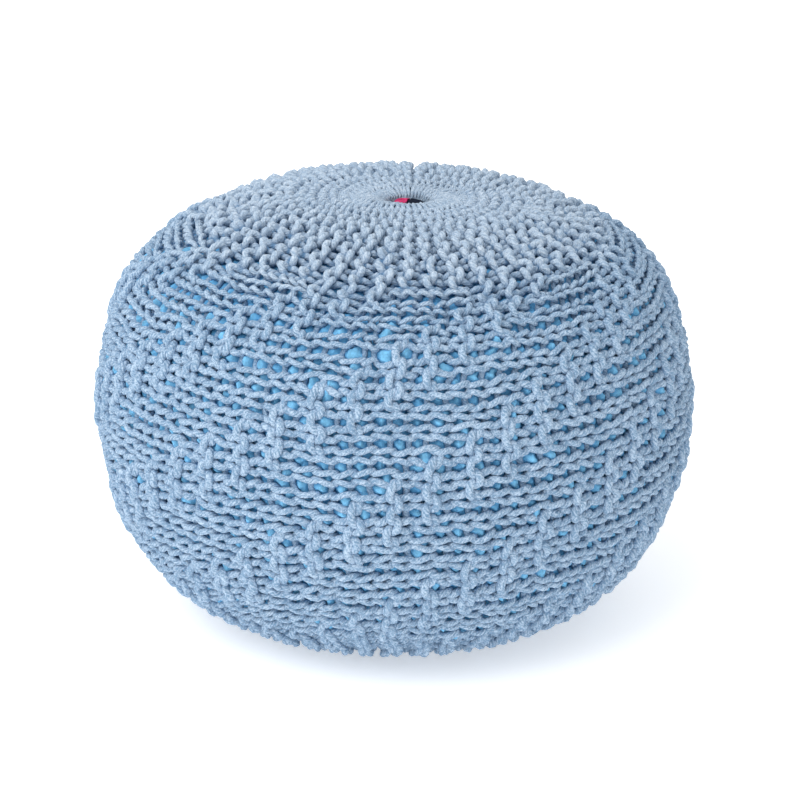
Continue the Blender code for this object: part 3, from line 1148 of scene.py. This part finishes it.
class POUF_OT_opening_cloths(bpy.types.Operator):
    """Fold the pink and the dark cloth into the opening"""

    bl_idname = "pouf.opening_cloths"
    bl_label = "Cloths in the Opening"

    def execute(self, context):
        settings = context.scene.pouf_opening
        pink = folded_finish("Pink cloth", settings.pink, 0.45)
        folded_cloth(PINK_FOLD, pink, "opening_fold_pink")
        dark = folded_finish("Dark cloth", settings.dark, 0.6)
        folded_cloth(DARK_FOLD, dark, "opening_fold_dark")
        return {"FINISHED"}


class POUF_OT_stage(bpy.types.Operator):
    """Set the pale floor, the soft lights and the camera"""

    bl_idname = "pouf.stage"
    bl_label = "Floor, Lights and Camera"

    def light(self, name, place, size, power):
        lamp = bpy.data.lights.new(name, "AREA")
        lamp.size = size
        lamp.energy = power
        holder = bpy.data.objects.new(name, lamp)
        bpy.context.scene.collection.objects.link(holder)
        holder.location = place
        holder.rotation_mode = "QUATERNION"
        holder.rotation_quaternion = (TARGET - Vector(place)).to_track_quat("-Z", "Y")

    def execute(self, context):
        settings = context.scene.pouf_stage
        bm = bmesh.new()
        bmesh.ops.create_grid(bm, x_segments=4, y_segments=4, size=12.0)
        join_bmesh("floor", bm, floor_finish(settings), smooth=False)

        self.light("key_light", (-1.6, -1.4, 2.6), 3.0, settings.key)
        self.light("fill_light", (2.0, -2.0, 1.0), 2.0, settings.fill)
        world = bpy.data.worlds.new("white_surround")
        world.use_nodes = True
        background = world.node_tree.nodes["Background"]
        background.inputs["Color"].default_value = (1.0, 1.0, 1.0, 1.0)
        background.inputs["Strength"].default_value = settings.surround
        context.scene.world = world
        context.scene.view_settings.view_transform = "Standard"

        lens = bpy.data.cameras.new("camera")
        camera = bpy.data.objects.new("camera", lens)
        context.scene.collection.objects.link(camera)
        tilt = math.radians(ELEVATION)
        back = Vector((0.0, -math.cos(tilt), math.sin(tilt)))
        camera.location = TARGET + back * DISTANCE
        camera.rotation_mode = "QUATERNION"
        upright = (-back).to_track_quat("-Z", "Y")
        camera.rotation_quaternion = upright @ Quaternion((0, 0, 1), -math.radians(ROLL))
        lens.sensor_width = SENSOR
        lens.lens = SENSOR * FOCAL / PICTURE
        lens.shift_x = (PICTURE / 2 - CENTRE[0]) / PICTURE
        lens.shift_y = (CENTRE[1] - PICTURE / 2) / PICTURE
        context.scene.camera = camera
        return {"FINISHED"}


class POUF_PT_sidebar(bpy.types.Panel):
    """Lists the pieces of the pouf"""

    bl_label = "Knitted Pouf"
    bl_idname = "POUF_PT_sidebar"
    bl_space_type = "VIEW_3D"
    bl_region_type = "UI"
    bl_category = "Pouf"

    def draw(self, context):
        scene = context.scene
        for operator, settings, names in PIECES:
            box = self.layout.box()
            box.operator(operator)
            for name in names:
                box.prop(getattr(scene, settings), name)


YARN_COLOURS_AND_PAINTED_LIGHT = ("light_colour", "shade_colour", "painted_crown_light_colour", "painted_shade_colour")
PIECES = [
    (
        "pouf.knitted_cover",
        "pouf_knit",
        ("thickness", "slant", "unevenness", "gap", *YARN_COLOURS_AND_PAINTED_LIGHT),
    ),
    ("pouf.cushion", "pouf_cushion", ("swell", "colour", "painted_shade_colour")),
    ("pouf.opening_cloths", "pouf_opening", ("pink", "dark")),
    ("pouf.stage", "pouf_stage", ("floor", "key", "fill", "surround")),
]

SETTINGS = {
    "pouf_knit": KnitSettings,
    "pouf_cushion": CushionSettings,
    "pouf_opening": OpeningSettings,
    "pouf_stage": StageSettings,
}

CLASSES = (
    *SETTINGS.values(),
    POUF_OT_knitted_cover,
    POUF_OT_cushion,
    POUF_OT_opening_cloths,
    POUF_OT_stage,
    POUF_PT_sidebar,
)


def register():
    for cls in CLASSES:
        bpy.utils.register_class(cls)
    for name, group in SETTINGS.items():
        setattr(bpy.types.Scene, name, PointerProperty(type=group))


def unregister():
    for name in SETTINGS:
        delattr(bpy.types.Scene, name)
    for cls in reversed(CLASSES):
        bpy.utils.unregister_class(cls)


def main():
    register()
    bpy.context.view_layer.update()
    bpy.ops.pouf.knitted_cover()
    bpy.ops.pouf.cushion()
    bpy.ops.pouf.opening_cloths()
    bpy.ops.pouf.stage()


if __name__ == "__main__":
    main()
